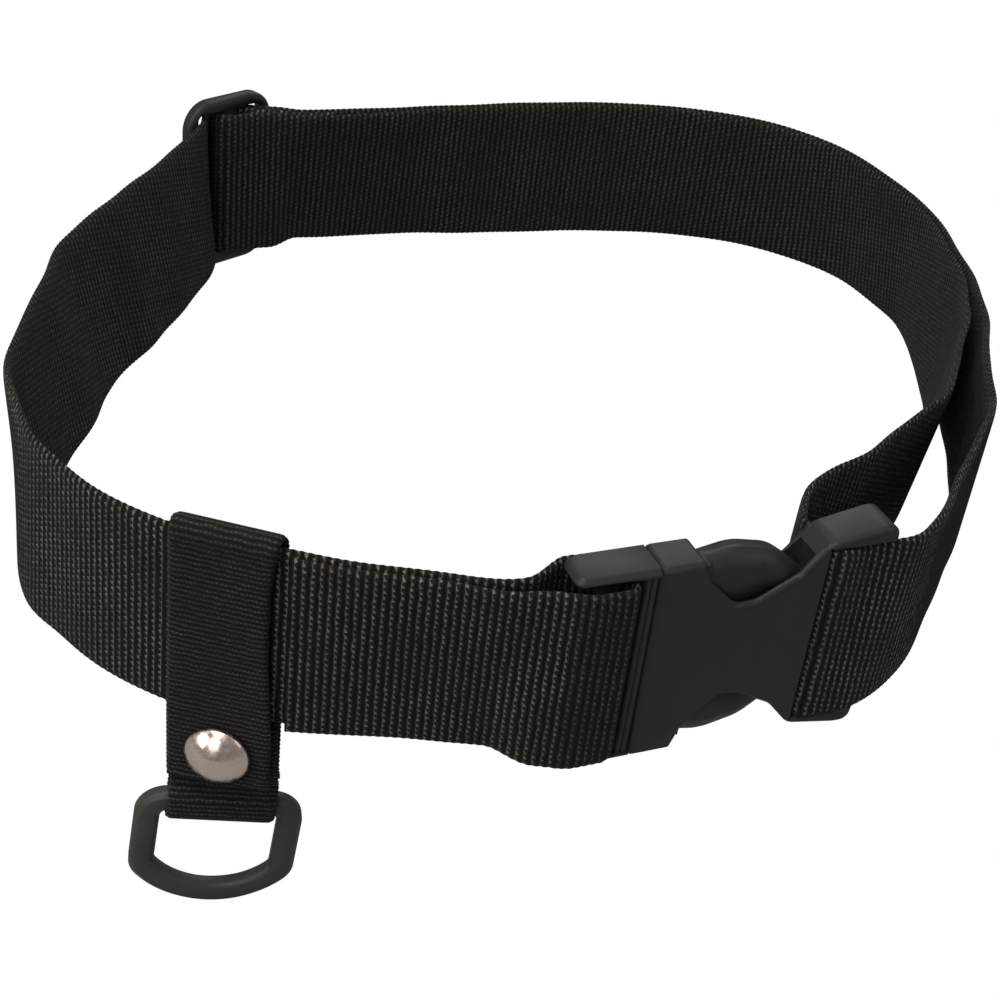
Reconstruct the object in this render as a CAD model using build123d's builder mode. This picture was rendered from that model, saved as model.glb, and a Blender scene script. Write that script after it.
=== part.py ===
"""Webbing waist belt with a side-release buckle, a length adjuster and a hanger closed by a press stud.

Millimetres. +Z is up along the wearer, +Y points to the wearer's back, +X to the belt's
right as seen from the front. The origin is the middle of the waist loop, half way up the
webbing. The belt is modelled buckled, in the open loop it takes round a waist.
"""

from build123d import *
import os
from math import atan2, cos, degrees, hypot, radians, sin, tan

# --- Driving dimensions -----------------------------------------------------------------

webbing_width = 50.0
webbing_thickness = 2.3
layer_gap = 0.3            # between a strap and whatever it lies against or passes round

# Buckle: "along" runs from the mouth's face towards the socket's strap end, "out" to the front
buckle_x, buckle_y = 33.02, -137.85
buckle_angle = 25.7
buckle_thickness = 11.4
slot_clearance = 0.8       # the strap slots are this much higher than the webbing
plug_rail_height = 1.9
socket_rail_height = 4.1
mouth_length = 11.1
mouth_side_wall = 4.0
face_wall = 2.1
socket_length = 62.0
socket_wall = 2.0          # between the cavity and the strap slot
socket_slot_at = 43.3      # start of the strap slot
socket_bar_at = 46.3
socket_bar_width = 5.7
socket_bar_thickness = 5.5
finger_notch_depth = 13.7  # how far the side windows cut into the faces
buckle_edge = 1.2
plug_length = 20.4         # frame of the plug, outside the socket
plug_bar_at = -13.0
plug_bar_width = 5.8
plug_bar_thickness = 6.0
plug_shoulder_width = 3.9
plug_shoulder_step = 1.0
plug_front_corner = 2.5
plug_back_corner = 4.5
seam_gap = 0.25
fit_gap = 0.3              # running clearance between plug and socket
guide_length = 30.0
guide_width = 9.0
prong_pivot_at = 1.6
prong_pivot_off = 15.0
prong_root_radius = 2.4
prong_arm_thickness = 3.4
prong_hook_play = 0.7      # between the hook and the mouth's inner edge
prong_overlap = 2.3        # the pads stand this far above the cavity's side
prong_pad_length = 28.8
prong_crest_out = 1.0      # the pads' crest; in front of it they slope down
prong_bevel_drop = 4.5

# Tri-glide, sewn into the strap at the back left
glide_x, glide_y = -109.0, 96.5
glide_angle = 50.0
glide_rail_height = 4.3
glide_length = 35.0
glide_thickness = 5.0
glide_corner_radius = 9.5
glide_edge = 1.2
glide_bar_width = 4.6
glide_centre_bar_width = 5.0
glide_centre_bar_thickness = 3.6
glide_slot_clearance = 1.4
strap_tail_length = 24.0   # sewn-down end of the strap beyond the adjuster
strap_tail_slope = 34.0    # beyond that, where the two layers have come together again

# Waist loop, seen from above: the corners that the strap's middle line rounds
right_side = ((99.4, -112.2, 45), (127.8, -38.1, 60), (134.0, 26.4, 152), (127.8, 82.5, 65),
              (99.6, 157.5, 63), (22.8, 152.0, 87))
left_side = ((-125.1, 6.9, 151), (-129.1, -60.7, 200), (-131.4, -97.3, 37),
             (-84.9, -146.6, 76), (-47.7, -149.9, 149))
inner_run = ((72.8, -87.1, 22), (87.9, -76.7, 15), (115.9, -31.0, 65), (127.9, 18.2, 50),
             (129.9, 40.0, 90))
front_run_y = -149.8
sewn_end_length = 48.5     # doubled end, from the buckle back to its cut edge

# Hanger
hanger_width = 26.0
hanger_thickness = 1.4
hanger_gap = 0.2
hanger_turn = 2.5          # degrees back round the front corner from its end
flap_end_z = -43.5
tail_top_z = -27.0
snap_z = -33.6

# The hanger's lower loop is twisted and tilted out of the hanger's own plane
twist_top_z = -40.3
twist_middle_z = -45.6
loop_twist = 20.0
loop_tilt = 6.0            # its right end hangs lower
loop_shift = -0.9
ring_bar_z = -54.0
ring_width = 40.6
ring_height = 36.0
ring_side_height = 25.2    # from the bar's top to where the round foot starts
ring_section = 6.1
ring_thickness = 5.4
ring_corner_radius = 8.0
ring_edge = 1.6
ring_loop_gap = 0.3        # between the ring's corners and the loop they turn in

# Snap fastener
cap_radius = 8.0
cap_height = 4.2
cap_rim = 0.9
snap_barrel_radius = 2.0
socket_ring_radius = 6.0
socket_bore_radius = 2.3
stud_flange_radius = 5.0
stud_flange_thickness = 0.7
stud_head_radius = 1.9
eyelet_radius = 6.0
eyelet_thickness = 0.8

# Stitching
thread = 0.7


# --- Plan geometry ----------------------------------------------------------------------

def from_frame(origin_x, origin_y, angle, along, out):
    """Plan point of a place given along and outwards of a turned frame."""
    c, s = cos(radians(angle)), sin(radians(angle))
    return (origin_x + along * c + out * s, origin_y + along * s - out * c)


def on_buckle(along, out):
    return from_frame(buckle_x, buckle_y, buckle_angle, along, out)


def on_glide(along, out):
    """The adjuster's outer face looks away from the wearer, which is the negative side."""
    return from_frame(glide_x, glide_y, glide_angle, along, -out)


def heading(start, end):
    return atan2(end[1] - start[1], end[0] - start[0])


def turn_at(points, i):
    """Signed turn of a path at one of its corners: positive to the left."""
    turn = heading(points[i], points[i + 1]) - heading(points[i - 1], points[i])
    return (turn + radians(180)) % radians(360) - radians(180)


def beside(points, distance):
    """Corners of the line that runs parallel to a path, at a distance to its left."""
    shifted = []
    for i, (x, y) in enumerate(points):
        before = heading(points[max(i - 1, 0)], points[max(i, 1)])
        after = heading(points[min(i, len(points) - 2)], points[min(i + 1, len(points) - 1)])
        half_turn = ((after - before + radians(180)) % radians(360) - radians(180)) / 2
        reach = distance / cos(half_turn)
        normal = before + half_turn + radians(90)
        shifted.append((x + reach * cos(normal), y + reach * sin(normal)))
    return shifted


def beside_radii(points, radii, distance):
    return [r - distance * (1 if turn_at(points, i + 1) > 0 else -1) for i, r in enumerate(radii)]


def add_ribbon(points, radii, thickness):
    """Face of a strap seen edge-on: the space between the two lines beside its middle line."""
    with BuildLine() as outline:
        edges = []
        for side in (thickness / 2, -thickness / 2):
            edges.append(FilletPolyline(*beside(points, side), radius=beside_radii(points, radii, side)))
        Line(edges[0] @ 0, edges[1] @ 0)
        Line(edges[0] @ 1, edges[1] @ 1)
    make_face(outline.edges())


def corner_arc(points, radii, i):
    """Centre of the arc at a corner, and the headings of the path before and after it."""
    before, after = heading(points[i - 1], points[i]), heading(points[i], points[i + 1])
    turn = turn_at(points, i)
    radius = radii[i - 1]
    setback = radius * tan(abs(turn) / 2)
    side = radians(90) if turn > 0 else -radians(90)
    start = (points[i][0] - setback * cos(before), points[i][1] - setback * sin(before))
    centre = (start[0] + radius * cos(before + side), start[1] + radius * sin(before + side))
    return centre, before, after


# --- Routes of the strap ----------------------------------------------------------------

pitch = webbing_thickness + layer_gap
wrap = layer_gap + webbing_thickness / 2      # from a bar's face to the strap's middle line
turn_radius = 3.0

socket_bar_front = socket_bar_thickness - 1.0
slot_line = socket_bar_at - wrap
over_bar = socket_bar_front + wrap

bar_half = glide_centre_bar_thickness / 2
outer_face = glide_thickness / 2
bar_edge = glide_length / 2 - glide_bar_width
under_outer = -(outer_face + wrap)
fold_out = bar_half + wrap
fold_at = -(glide_centre_bar_width / 2 + wrap)
over_fold = fold_out + pitch

outer_points = [on_buckle(slot_line, 0), on_buckle(slot_line, over_bar)]
outer_points += [(x, y) for x, y, _ in right_side]
outer_points += [on_glide(bar_edge + 0.1, under_outer), on_glide(4.5, over_fold),
                 on_glide(-4.5, over_fold), on_glide(-bar_edge - 0.1, under_outer)]
outer_radii = [turn_radius] + [r for _, _, r in right_side] + [4, 5, 5, 4]

left_points = [outer_points[-1]] + [(x, y) for x, y, _ in left_side]
left_radii = [r for _, _, r in left_side]

plug_bar_end = plug_bar_at + plug_bar_width
plug_slot_line = plug_bar_end + wrap
plug_back_line = -(plug_bar_thickness / 2 + wrap + 2.4)
plug_front_line = plug_bar_thickness / 2 + wrap + 3.2
main_bend = (3.5, front_run_y)
plug_points = [main_bend, (13.2, -138.9), on_buckle(plug_slot_line, plug_back_line),
               on_buckle(plug_slot_line, plug_front_line), on_buckle(plug_bar_at - 4, plug_front_line),
               (4.0, front_run_y - pitch - 0.2)]
plug_radii = [12, 6, turn_radius, turn_radius, 9, 16]


def along_line(start, end, distance):
    """Point at a distance from the start of a straight stretch."""
    length = hypot(end[0] - start[0], end[1] - start[1])
    share = distance / length
    return (start[0] + (end[0] - start[0]) * share, start[1] + (end[1] - start[1]) * share)


def add_strap(points, radii):
    """Full-width webbing along a plan route."""
    with BuildSketch(Plane.XY.offset(-webbing_width / 2)) as section:
        add_ribbon(points, radii, webbing_thickness)
    extrude(section.sketch, amount=webbing_width)


past_glide = 8.0
glide_exit = along_line(left_points[0], left_points[1], past_glide)
glide_entry = along_line(left_points[0], left_points[1], past_glide + layer_gap)

tail_line = beside(outer_points, pitch)
long_line = beside(outer_points, 2 * pitch)
glide_corner = len(outer_points) - 4
tail_cut = along_line(tail_line[glide_corner], tail_line[glide_corner - 1], strap_tail_length)
lift_off = along_line(long_line[glide_corner], long_line[glide_corner - 1], strap_tail_length + 4)
touch_down = along_line(tail_line[glide_corner], tail_line[glide_corner - 1], strap_tail_length + strap_tail_slope)
shared_corners = range(glide_corner - 1, glide_corner - 4, -1)
inner_points = [tail_cut, tail_line[glide_corner], tail_line[glide_corner + 1],
                on_glide(fold_at, fold_out), on_glide(fold_at, -fold_out),
                long_line[glide_corner], lift_off, touch_down]
inner_points += [tail_line[i] for i in shared_corners]
inner_points += [(x, y) for x, y, _ in reversed(inner_run)]
inner_points += [on_buckle(slot_line, -9.5), on_buckle(slot_line, 0)]
inner_radii = [5, 4, fold_out - 0.1, fold_out - 0.5, 12, 60, 60]
inner_radii += [outer_radii[i - 1] - pitch for i in shared_corners]
inner_radii += [r for _, _, r in reversed(inner_run)] + [6]

# --- Webbing ----------------------------------------------------------------------------

with BuildPart() as webbing_outer_layer:
    add_strap(outer_points + [glide_exit], outer_radii)

with BuildPart() as webbing_inner_layer:
    add_strap(inner_points, inner_radii)

front_start = (-47.7, -149.9)
run_split = along_line(front_start, main_bend, 8.0)
with BuildPart() as webbing_left_side:
    add_strap([glide_entry] + left_points[1:] + [run_split], left_radii)

doubled_y = plug_points[-1][1]
cut_edge = (plug_points[-1][0] - sewn_end_length, doubled_y)
with BuildPart() as webbing_front_run:
    add_strap([run_split] + plug_points + [cut_edge], plug_radii)

# --- Buckle -----------------------------------------------------------------------------

buckle_axis = Vector(cos(radians(buckle_angle)), sin(radians(buckle_angle)), 0)
buckle_out = Vector(sin(radians(buckle_angle)), -cos(radians(buckle_angle)), 0)
buckle_face = Plane(origin=(buckle_x, buckle_y, 0), x_dir=buckle_axis, z_dir=buckle_out)

half_slot = (webbing_width + slot_clearance) / 2
half_mouth = half_slot + plug_rail_height
half_end = half_slot + socket_rail_height
cavity_half = half_mouth - mouth_side_wall
cavity_depth = buckle_thickness - 2 * face_wall
socket_floor_at = socket_slot_at - socket_wall
notch_floor = half_mouth - finger_notch_depth
pad_top = cavity_half + prong_overlap
hook_at = mouth_length + prong_hook_play
pad_end = hook_at + prong_pad_length


def add_box(along_from, along_to, height, thickness, out_middle=0.0, mode=Mode.ADD):
    """Block of the buckle, centred on its axis: from one place along it to another."""
    with BuildSketch(buckle_face.offset(out_middle - thickness / 2)) as section:
        with Locations(((along_from + along_to) / 2, 0)):
            Rectangle(along_to - along_from, height)
    extrude(section.sketch, amount=thickness, mode=mode)


def add_bar(along_from, along_to, thickness, radius, out_middle=0.0):
    """Bar across the slot with rounded edges, which a strap loops round."""
    middle = on_buckle((along_from + along_to) / 2, out_middle)
    with BuildSketch(Plane.XY.offset(-half_slot - 0.5)) as section:
        with Locations(Location((*middle, 0), (0, 0, buckle_angle))):
            RectangleRounded(along_to - along_from, thickness, radius)
    extrude(section.sketch, amount=2 * half_slot + 1)


def edges_at(builder, direction, distances):
    """Edges whose middles lie at given distances from the buckle's origin in a direction."""
    origin = Vector(buckle_x, buckle_y, 0)
    return builder.edges().filter_by(lambda e: any(
        abs((e.center() - origin).dot(direction) - d) < 0.01 for d in distances))


with BuildPart() as buckle_socket:
    with BuildSketch(buckle_face.offset(-buckle_thickness / 2)):
        with BuildLine() as upper_edge:
            edge = FilletPolyline(
                (0, 0), (0, half_mouth), (mouth_length, half_mouth),
                (mouth_length + 2.5, notch_floor + 7.2), (mouth_length + 10.2, notch_floor - 0.2),
                (mouth_length + 15.4, notch_floor), (socket_slot_at - 6.4, notch_floor + 5.6),
                (socket_slot_at + 0.3, half_slot + 1.5), (socket_length - 4.6, half_end),
                (socket_length, half_end - 0.1), (socket_length, 0),
                radius=[1.5, 1.8, 4.0, 4.0, 8.0, 7.0, 6.0, 8.0, 3.6])
            mirror(about=Plane.XZ)
        make_face()
    extrude(amount=buckle_thickness)
    chamfer(edges_at(buckle_socket, buckle_out, (buckle_thickness / 2, -buckle_thickness / 2)), buckle_edge)
    add_box(-1, socket_floor_at, 2 * cavity_half, cavity_depth, mode=Mode.SUBTRACT)
    # the cavity opens at both sides behind the finger notches
    with BuildSketch(buckle_face.offset(-cavity_depth / 2)):
        with BuildLine():
            Polyline((mouth_length, 0), (mouth_length, half_end + 1), (socket_slot_at + 4, half_end + 1),
                     (socket_slot_at - 2.6, half_mouth - 3.8), (socket_floor_at, half_mouth - 7.0),
                     (socket_floor_at, 0), (mouth_length, 0))
        make_face()
        mirror(about=Plane.XZ)
    extrude(amount=cavity_depth, mode=Mode.SUBTRACT)
    # strap slot, the loading bar and the open end beyond it
    add_box(socket_slot_at, socket_length + 1, 2 * half_slot, buckle_thickness + 1, mode=Mode.SUBTRACT)
    add_bar(socket_bar_at, socket_bar_at + socket_bar_width, socket_bar_thickness, 2.0,
            out_middle=socket_bar_front - socket_bar_thickness / 2)

with BuildPart() as buckle_plug:
    # shoulder that meets the socket's mouth, the two rails and the strap bar
    add_box(-plug_length, -seam_gap, 2 * half_mouth, buckle_thickness)
    end_corners = edges_at(buckle_plug, buckle_axis, (-plug_length,)).filter_by(Axis.Z)
    fillet(end_corners.sort_by(Axis.Y)[0], plug_front_corner)
    fillet(end_corners.sort_by(Axis.Y)[-1], plug_back_corner)
    chamfer(buckle_plug.faces().filter_by(Axis.Z).edges().filter_by(
        lambda e: abs((e.center() - Vector(buckle_x, buckle_y, 0)).dot(buckle_axis) + seam_gap) > 0.01),
        buckle_edge)
    add_box(-plug_length - 1, -seam_gap - plug_shoulder_width, 2 * half_slot,
            buckle_thickness + 1, mode=Mode.SUBTRACT)
    for side in (1, -1):
        add_box(-seam_gap - plug_shoulder_width, -seam_gap, 2 * half_slot, plug_shoulder_step,
                out_middle=side * (buckle_thickness - plug_shoulder_step) / 2, mode=Mode.SUBTRACT)
        # two ribs stand on the recessed shoulder
        for rib_at in (-seam_gap - plug_shoulder_width * 0.3, -seam_gap - plug_shoulder_width * 0.7):
            add_box(rib_at - 0.5, rib_at + 0.5, 2 * half_slot, 0.6,
                    out_middle=side * (buckle_thickness / 2 - plug_shoulder_step + 0.3))
    add_bar(plug_bar_at, plug_bar_end, plug_bar_thickness, 2.4)
    # part that enters the socket: a base with the prongs' seats, and the centre guide
    inside = cavity_depth - 2 * fit_gap
    add_box(-seam_gap - 1, prong_pivot_at + prong_root_radius + 1.2, 2 * (cavity_half - fit_gap), inside)
    with BuildSketch(buckle_face.offset(-inside / 2 + 0.6)):
        with BuildLine():
            half = guide_width / 2
            Polyline((0, -half), (guide_length - half, -half), (guide_length, -half / 2),
                     (guide_length, half / 2), (guide_length - half, half), (0, half), (0, -half))
        make_face()
    extrude(amount=inside - 1.2)
    with BuildSketch(buckle_face.offset(-inside / 2 - 0.1)):
        with Locations((prong_pivot_at, prong_pivot_off), (prong_pivot_at, -prong_pivot_off)):
            Circle(prong_root_radius + fit_gap)
        for side in (1, -1):
            with Locations((prong_pivot_at + 4, side * (prong_pivot_off + 1.0))):
                Rectangle(8, 9.0)
    extrude(amount=inside + 0.2, mode=Mode.SUBTRACT)


prong_thickness = cavity_depth - 2 * fit_gap


def add_prong(side):
    """Flexing arm of the plug with its thumb pad: +1 is the upper one, -1 the lower."""
    arm = prong_arm_thickness
    brow, back = (hook_at + 9.0, pad_top + 0.9), (pad_end - 9.5, pad_top - 1.4)
    with BuildSketch(buckle_face.offset(-prong_thickness / 2)) as section:
        with BuildLine():
            FilletPolyline(
                (prong_pivot_at, prong_pivot_off - arm / 2),
                (hook_at + 1.0, pad_top - 7.6 - arm), (hook_at + 6, pad_top - 12.6),
                (pad_end - 8, pad_top - 13.6), (pad_end, pad_top - 10.6), (pad_end, pad_top - 8.4),
                back, brow, (hook_at, pad_top - 0.9), (hook_at, pad_top - 4.4),
                (prong_pivot_at, prong_pivot_off + arm / 2), close=True,
                radius=[0, 6, 4, 5, 1.5, 1.5, 12, 14, 1.0, 1.0, 0])
        make_face()
        with Locations((prong_pivot_at, prong_pivot_off)):
            Circle(prong_root_radius)
        if side < 0:
            mirror(about=Plane.XZ, mode=Mode.REPLACE)
    extrude(section.sketch, amount=prong_thickness)
    # in front of its crest the pad slopes down towards the buckle's middle
    with BuildSketch(buckle_face.offset(prong_crest_out)) as slope:
        with BuildLine():
            FilletPolyline(
                (hook_at + 2.0, pad_top + 12), (hook_at + 2.0, pad_top - 0.5), brow, back,
                (pad_end + 4, pad_top - 11.35), (pad_end + 4, pad_top + 12), close=True,
                radius=[0, 0, 14, 12, 0, 0])
        make_face()
        if side < 0:
            mirror(about=Plane.XZ, mode=Mode.REPLACE)
    rise = prong_thickness / 2 - prong_crest_out
    way = buckle_out * rise + Vector(0, 0, -side * prong_bevel_drop)
    extrude(slope.sketch, amount=way.length * 1.02, dir=way.normalized(), mode=Mode.SUBTRACT)


with BuildPart() as upper_prong:
    add_prong(1)

with BuildPart() as lower_prong:
    add_prong(-1)

# --- Adjuster ---------------------------------------------------------------------------

glide_axis = Vector(cos(radians(glide_angle)), sin(radians(glide_angle)), 0)
glide_in = Vector(sin(radians(glide_angle)), -cos(radians(glide_angle)), 0)
glide_face = Plane(origin=(glide_x, glide_y, 0), x_dir=glide_axis, z_dir=glide_in)

glide_slot_height = webbing_width + glide_slot_clearance
glide_height = glide_slot_height + 2 * glide_rail_height

with BuildPart() as tri_glide:
    with BuildSketch(glide_face.offset(-glide_thickness / 2)):
        RectangleRounded(glide_length, glide_height, glide_corner_radius)
        RectangleRounded(glide_length - 2 * glide_bar_width, glide_slot_height, 2.2, mode=Mode.SUBTRACT)
    extrude(amount=glide_thickness)
    flat_faces = tri_glide.faces().filter_by(lambda f: abs(f.normal_at().dot(glide_in)) > 0.99)
    chamfer(flat_faces.edges(), glide_edge)
    # centre bar, rounded where the strap folds round it
    with BuildSketch(Plane.XY.offset(-glide_slot_height / 2 - 1)):
        with Locations(Location((glide_x, glide_y, 0), (0, 0, glide_angle))):
            RectangleRounded(glide_centre_bar_width, glide_centre_bar_thickness, 1.5)
    extrude(amount=glide_slot_height + 2)

# --- Hanger -----------------------------------------------------------------------------

hanger_corner = len(left_radii) - 2      # the last corner but one, which the hanger travels round
travel_centre, corner_start, corner_end = corner_arc(left_points, left_radii, hanger_corner + 1)
travel_radius = left_radii[hanger_corner]
hanger_heading = corner_end - radians(hanger_turn)
hanger_along = Vector(cos(hanger_heading), sin(hanger_heading), 0)
hanger_out = Vector(sin(hanger_heading), -cos(hanger_heading), 0)
hanger_x = travel_centre[0] + travel_radius * hanger_out.X
hanger_y = travel_centre[1] + travel_radius * hanger_out.Y
# side view of the hanger: outwards and up
hanger_side = Plane(origin=(hanger_x, hanger_y, 0), x_dir=hanger_out, z_dir=-hanger_along)
hanger_face = Plane(origin=(hanger_x, hanger_y, 0), x_dir=hanger_along, z_dir=hanger_out)

corner_bulge = travel_radius - (travel_radius**2 - (hanger_width / 2)**2)**0.5
front_face = webbing_thickness / 2 + layer_gap
flap_line = front_face + hanger_thickness / 2
back_line = -(webbing_thickness / 2 + layer_gap + corner_bulge + hanger_thickness / 2 + 0.2)
fold_middle = (flap_line + back_line) / 2
fold_radius = (flap_line - back_line) / 2
inner_fold = fold_radius - hanger_thickness / 2
edge_reach = webbing_thickness / 2 - fold_middle
fold_z = webbing_width / 2 + layer_gap - (inner_fold**2 - edge_reach**2)**0.5
fold_top = fold_z + fold_radius
tail_line_out = back_line + hanger_thickness + hanger_gap
wrap_radius = hypot(ring_section / 2, ring_thickness / 2 - ring_edge) + ring_loop_gap + hanger_thickness / 2
ring_out = (back_line + tail_line_out) / 2


def add_hanger_strap(points, radii):
    """Narrow webbing along a route drawn in the hanger's side view."""
    with BuildSketch(hanger_side.offset(-hanger_width / 2)) as section:
        add_ribbon(points, radii, hanger_thickness)
    extrude(section.sketch, amount=hanger_width)


def cut_snap_hole():
    with BuildSketch(hanger_face.offset(back_line - 3)) as hole:
        with Locations((0, snap_z)):
            Circle(snap_barrel_radius + 0.05)
    extrude(hole.sketch, amount=flap_line - back_line + 6, mode=Mode.SUBTRACT)


loop_heading = hanger_heading + radians(loop_twist)
loop_out = Vector(sin(loop_heading), -cos(loop_heading), 0)
loop_along = (Vector(cos(loop_heading), sin(loop_heading), 0) * cos(radians(loop_tilt))
              - Vector(0, 0, sin(radians(loop_tilt))))
ring_centre = (Vector(hanger_x, hanger_y, ring_bar_z) + hanger_out * ring_out
               + hanger_along * loop_shift)
loop_up = loop_along.cross(loop_out) * -1
loop_side = Plane(origin=ring_centre, x_dir=loop_out, z_dir=-loop_along)
loop_face = Plane(origin=ring_centre, x_dir=loop_along, z_dir=loop_out)
loop_top = wrap_radius - 1.0
layers_middle = Vector(hanger_x, hanger_y, 0) + hanger_out * ring_out
twist_middles = (layers_middle + Vector(0, 0, twist_top_z),
                 layers_middle + Vector(0, 0, twist_middle_z) + hanger_along * (loop_shift / 2),
                 ring_centre + loop_up * loop_top)
layer_out = tail_line_out - ring_out


def across(stage, out):
    """Section across one layer of the narrow webbing, at one of the three stages of its twist."""
    share = stage / 2
    turned, tilt = hanger_heading + radians(loop_twist) * share, radians(loop_tilt) * share
    side = Vector(sin(turned), -cos(turned), 0)
    along = Vector(cos(turned), sin(turned), 0) * cos(tilt) - Vector(0, 0, sin(tilt))
    middle = twist_middles[stage] + side * out
    with BuildSketch(Plane(origin=middle, x_dir=along, z_dir=along.cross(side))) as section:
        Rectangle(hanger_width, hanger_thickness)
    return section.sketch


with BuildPart() as hanger_strap:
    add_hanger_strap(
        [(fold_middle - 0.1, fold_top), (back_line, fold_top), (back_line, twist_top_z)],
        [fold_radius - 0.15])
    with BuildSketch(hanger_side.offset(-hanger_width / 2)) as tail_section:
        with Locations((tail_line_out, (tail_top_z + twist_top_z) / 2)):
            Rectangle(hanger_thickness, tail_top_z - twist_top_z)
    extrude(tail_section.sketch, amount=hanger_width)
    # both layers twist on their way down to the loop that holds the ring
    for side in (-1, 1):
        loft([across(0, side * layer_out), across(1, side * layer_out * 1.3),
              across(2, side * wrap_radius)], ruled=True)
    with BuildSketch(loop_side.offset(-hanger_width / 2)) as loop_section:
        add_ribbon([(-wrap_radius, loop_top), (-wrap_radius, -wrap_radius),
                    (wrap_radius, -wrap_radius), (wrap_radius, loop_top)],
                   [wrap_radius - 0.05, wrap_radius - 0.05], hanger_thickness)
    extrude(loop_section.sketch, amount=hanger_width)
    cut_snap_hole()

with BuildPart() as hanger_flap:
    add_hanger_strap(
        [(fold_middle + 0.1, fold_top), (flap_line, fold_top), (flap_line, flap_end_z)],
        [fold_radius - 0.15])
    cut_snap_hole()

with BuildPart() as d_ring:
    ring_top = ring_section / 2
    half = ring_width / 2
    with BuildSketch(loop_face.offset(-ring_thickness / 2)) as ring_outline:
        with BuildLine():
            Polyline((-half, ring_top - ring_side_height), (-half, ring_top), (half, ring_top),
                     (half, ring_top - ring_side_height))
            ThreePointArc((half, ring_top - ring_side_height), (0, ring_top - ring_height),
                          (-half, ring_top - ring_side_height))
        make_face()
        fillet(ring_outline.vertices(), ring_corner_radius)
        offset(amount=-ring_section, kind=Kind.ARC, mode=Mode.SUBTRACT)
    extrude(amount=ring_thickness)
    ring_faces = d_ring.faces().filter_by(lambda f: abs(f.normal_at().dot(loop_out)) > 0.99)
    chamfer(ring_faces.edges(), ring_edge)

# --- Snap fastener ----------------------------------------------------------------------

snap_origin = Vector(hanger_x, hanger_y, snap_z)
snap_side = Plane(origin=snap_origin, x_dir=hanger_out, z_dir=-hanger_along)
snap_axis = Axis(snap_origin, hanger_out)
flap_outer = flap_line + hanger_thickness / 2
flap_inner = flap_line - hanger_thickness / 2
tail_outer = tail_line_out + hanger_thickness / 2
back_outer = back_line - hanger_thickness / 2
stud_flange_out = tail_outer + stud_flange_thickness
ring_back = stud_flange_out + fit_gap
ring_floor = flap_inner - 0.45


def add_turned(*profile):
    """Turned part: (out, radius) corners of half its section, spun about the snap's axis."""
    with BuildSketch(snap_side) as section:
        with BuildLine():
            Polyline(*profile, profile[0])
        make_face()
    revolve(section.sketch, axis=snap_axis)


with BuildPart() as snap_cap:
    with BuildSketch(snap_side) as cap_section:
        with BuildLine():
            rim_top = flap_outer + cap_rim
            Polyline((flap_outer + cap_height, 0), (ring_floor, 0), (ring_floor, snap_barrel_radius),
                     (flap_outer, snap_barrel_radius), (flap_outer, cap_radius - 0.4),
                     (flap_outer + cap_rim * 0.4, cap_radius), (rim_top, cap_radius - 0.35))
            dome = TangentArc((flap_outer + cap_height, 0), (rim_top, cap_radius - 0.35), tangent=(0, 1))
        make_face()
    revolve(axis=snap_axis)

with BuildPart() as snap_socket:
    add_turned((ring_back, socket_bore_radius), (ring_back, socket_ring_radius - 0.4),
               (ring_back + 0.4, socket_ring_radius), (flap_inner, socket_ring_radius),
               (flap_inner, snap_barrel_radius + 0.02), (ring_floor, snap_barrel_radius + 0.02),
               (ring_floor, socket_bore_radius))

with BuildPart() as snap_stud:
    head_end = ring_floor - fit_gap
    add_turned((tail_outer, snap_barrel_radius + 0.02), (tail_outer, stud_flange_radius),
               (stud_flange_out, stud_flange_radius), (stud_flange_out, stud_head_radius - 0.25),
               (head_end - 0.8, stud_head_radius), (head_end, stud_head_radius - 0.4),
               (head_end, 0.6), (stud_flange_out, 0.6), (stud_flange_out - 0.2, snap_barrel_radius + 0.02))

with BuildPart() as snap_eyelet:
    add_turned((back_outer - eyelet_thickness, 0), (back_outer - eyelet_thickness, eyelet_radius - 0.5),
               (back_outer - 0.3, eyelet_radius), (back_outer, eyelet_radius),
               (back_outer, snap_barrel_radius), (tail_outer, snap_barrel_radius),
               (tail_outer, 0))

# --- Stitching --------------------------------------------------------------------------

stitch_proud = 0.4
box_left, box_right, box_half = cut_edge[0] + 2.5, main_bend[0] - 9.0, 21.0
sewn_face = Plane(origin=(0, doubled_y - webbing_thickness / 2, 0), x_dir=(1, 0, 0), z_dir=(0, -1, 0))

with BuildPart() as box_stitch:
    with BuildSketch(sewn_face):
        with Locations(((box_left + box_right) / 2, 0)):
            box_length = box_right - box_left
            Rectangle(box_length, 2 * box_half)
            Rectangle(box_length - 2 * thread, 2 * box_half - 2 * thread, mode=Mode.SUBTRACT)
            diagonal = hypot(box_length - thread, 2 * box_half - thread)
            slope = degrees(atan2(2 * box_half - thread, box_length - thread))
            for angle in (slope, -slope):
                Rectangle(diagonal - thread, thread, rotation=angle)
    extrude(amount=stitch_proud)

tail_seam_start = long_line[glide_corner]
tail_heading = heading(tail_seam_start, lift_off)
tail_in = Vector(sin(tail_heading), -cos(tail_heading), 0)
tail_face = Plane(origin=(*tail_seam_start, 0), x_dir=(cos(tail_heading), sin(tail_heading), 0),
                  z_dir=tail_in).offset(webbing_thickness / 2)

with BuildPart() as tail_stitch:
    with BuildSketch(tail_face):
        for row_at in (9.0, 12.5):
            with Locations((row_at, 0)):
                Rectangle(thread, webbing_width - 6)
    extrude(amount=stitch_proud)

# --- Labels and files -------------------------------------------------------------------

os.makedirs("parts", exist_ok=True)

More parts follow.
